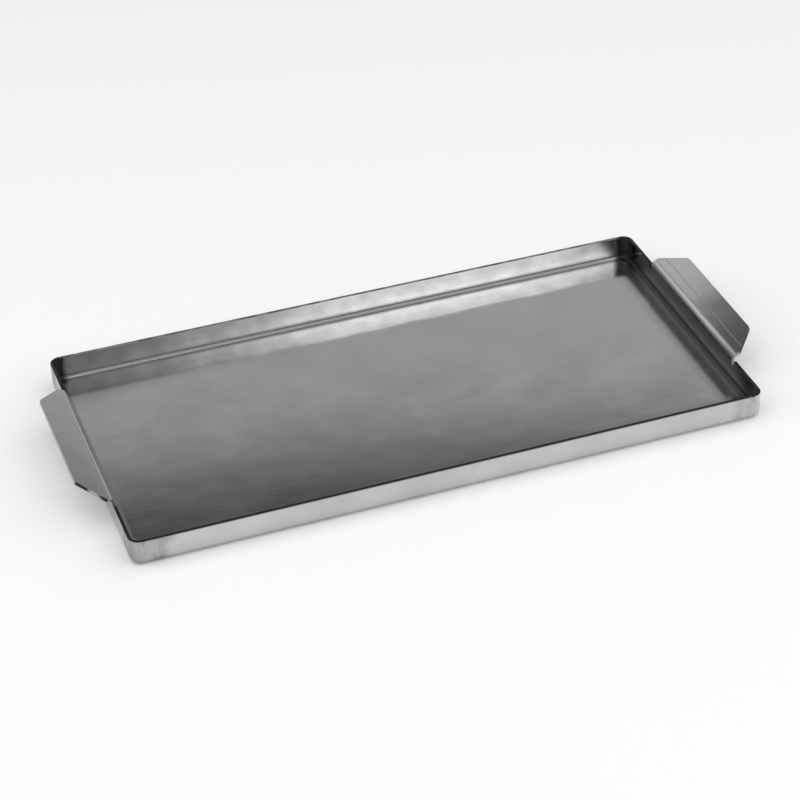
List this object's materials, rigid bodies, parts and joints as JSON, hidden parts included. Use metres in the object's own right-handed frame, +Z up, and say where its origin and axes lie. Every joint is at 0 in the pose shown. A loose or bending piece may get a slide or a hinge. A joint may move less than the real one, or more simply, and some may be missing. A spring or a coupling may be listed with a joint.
{
  "type": "camp griddle plate",
  "caption": "Shallow rectangular steel griddle tray with folded walls, round welded corners and a trapezoid handle tilted up at each short end, for cooking over a camp stove or fire.",
  "frame": {"origin": "middle of the underside, on the surface that the plate stands on", "axes": "+X along the length towards one handle, +Y across the width, +Z up out of the tray"},
  "size_m": [0.6544, 0.3, 0.0411],
  "materials": {
    "rolled_steel": "cold-rolled stainless sheet, semi-bright, with faint cloudy rolling marks",
    "dressed_steel": "pressed stainless corner, dressed with a fine abrasive, hazy",
    "weld_metal": "weld seam ground flush and blended into the sheet"
  },
  "bodies": {
    "root": {"pan_sheet": "rolled_steel", "corner_front_left": "dressed_steel", "corner_front_right": "dressed_steel", "corner_back_left": "dressed_steel", "corner_back_right": "dressed_steel", "corner_weld_front_left": "weld_metal", "corner_weld_front_right": "weld_metal", "corner_weld_back_left": "weld_metal", "corner_weld_back_right": "weld_metal"}
  },
  "joints": []
}
